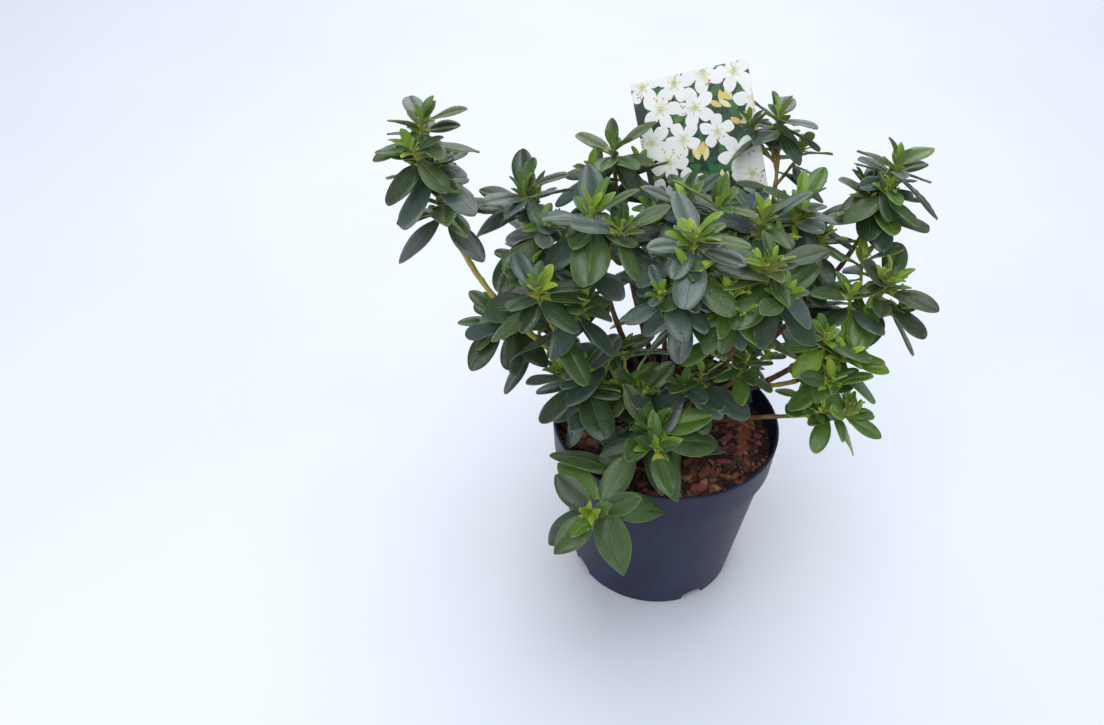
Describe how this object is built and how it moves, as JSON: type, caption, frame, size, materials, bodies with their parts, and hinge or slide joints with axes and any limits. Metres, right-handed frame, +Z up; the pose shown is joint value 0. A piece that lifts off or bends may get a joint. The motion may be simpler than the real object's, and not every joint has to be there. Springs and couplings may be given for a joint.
{
  "type": "potted azalea shrub",
  "caption": "Young evergreen azalea shrub growing in a round plastic nursery pot, with whorled leafy heads on branching limbs and a picture tag, for a patio or for planting out.",
  "frame": {"origin": "middle of the flat underside of the pot, on the surface that it stands on", "axes": "+Z up along the pot's axis, -Y to the plant's front, as it is seen in the picture, +X to its right"},
  "size_m": [0.3482, 0.2523, 0.3462],
  "materials": {
    "pot": "thermoformed recycled polypropylene, dark slate, matt with faint dust",
    "potting_mix": "moist peat with red-brown bark chips and fibres",
    "bark": "thin reddish-brown bark, yellow-green on the youngest shoots",
    "foliage": "leathery evergreen leaves, satin, dusty blue-green above and lime where young",
    "tag": "glossy printed polystyrene card on a plain stake"
  },
  "bodies": {
    "root": {"pot": "pot", "potting_mix": "potting_mix", "trunk": "bark", "plant_tag": "tag", "bough_crown_centre": "bark", "bough_crown_front": "bark", "bough_left_top": "bark", "bough_tall_left": "bark", "bough_left_outer": "bark", "bough_left_front": "bark", "bough_back_left_top": "bark", "bough_back_top": "bark", "bough_right_front": "bark", "bough_right_top": "bark", "bough_tall_right": "bark", "bough_right_upper": "bark", "bough_back_right_top": "bark", "bough_inner_left_top": "bark", "bough_inner_right_top": "bark", "bough_far_right": "bark", "bough_low_right": "bark", "bough_lowest_right": "bark", "bough_inner_right": "bark", "bough_inner_centre": "bark", "bough_front": "bark", "bough_front_hanging": "bark", "bough_low_left": "bark", "bough_inner_left": "bark", "bough_far_left": "bark", "bough_back_left": "bark", "bough_back_centre": "bark", "bough_back_right": "bark", "foliage_crown_centre": "foliage", "foliage_crown_front": "foliage", "foliage_left_top": "foliage", "foliage_tall_left": "foliage", "foliage_left_outer": "foliage", "foliage_left_front": "foliage", "foliage_back_left_top": "foliage", "foliage_back_top": "foliage", "foliage_right_front": "foliage", "foliage_right_top": "foliage", "foliage_tall_right": "foliage", "foliage_right_upper": "foliage", "foliage_back_right_top": "foliage", "foliage_inner_left_top": "foliage", "foliage_inner_right_top": "foliage", "foliage_far_right": "foliage", "foliage_low_right": "foliage", "foliage_lowest_right": "foliage", "foliage_inner_right": "foliage", "foliage_inner_centre": "foliage", "foliage_front": "foliage", "foliage_front_hanging": "foliage", "foliage_low_left": "foliage", "foliage_inner_left": "foliage", "foliage_far_left": "foliage", "foliage_back_left": "foliage", "foliage_back_centre": "foliage", "foliage_back_right": "foliage"}
  },
  "joints": []
}
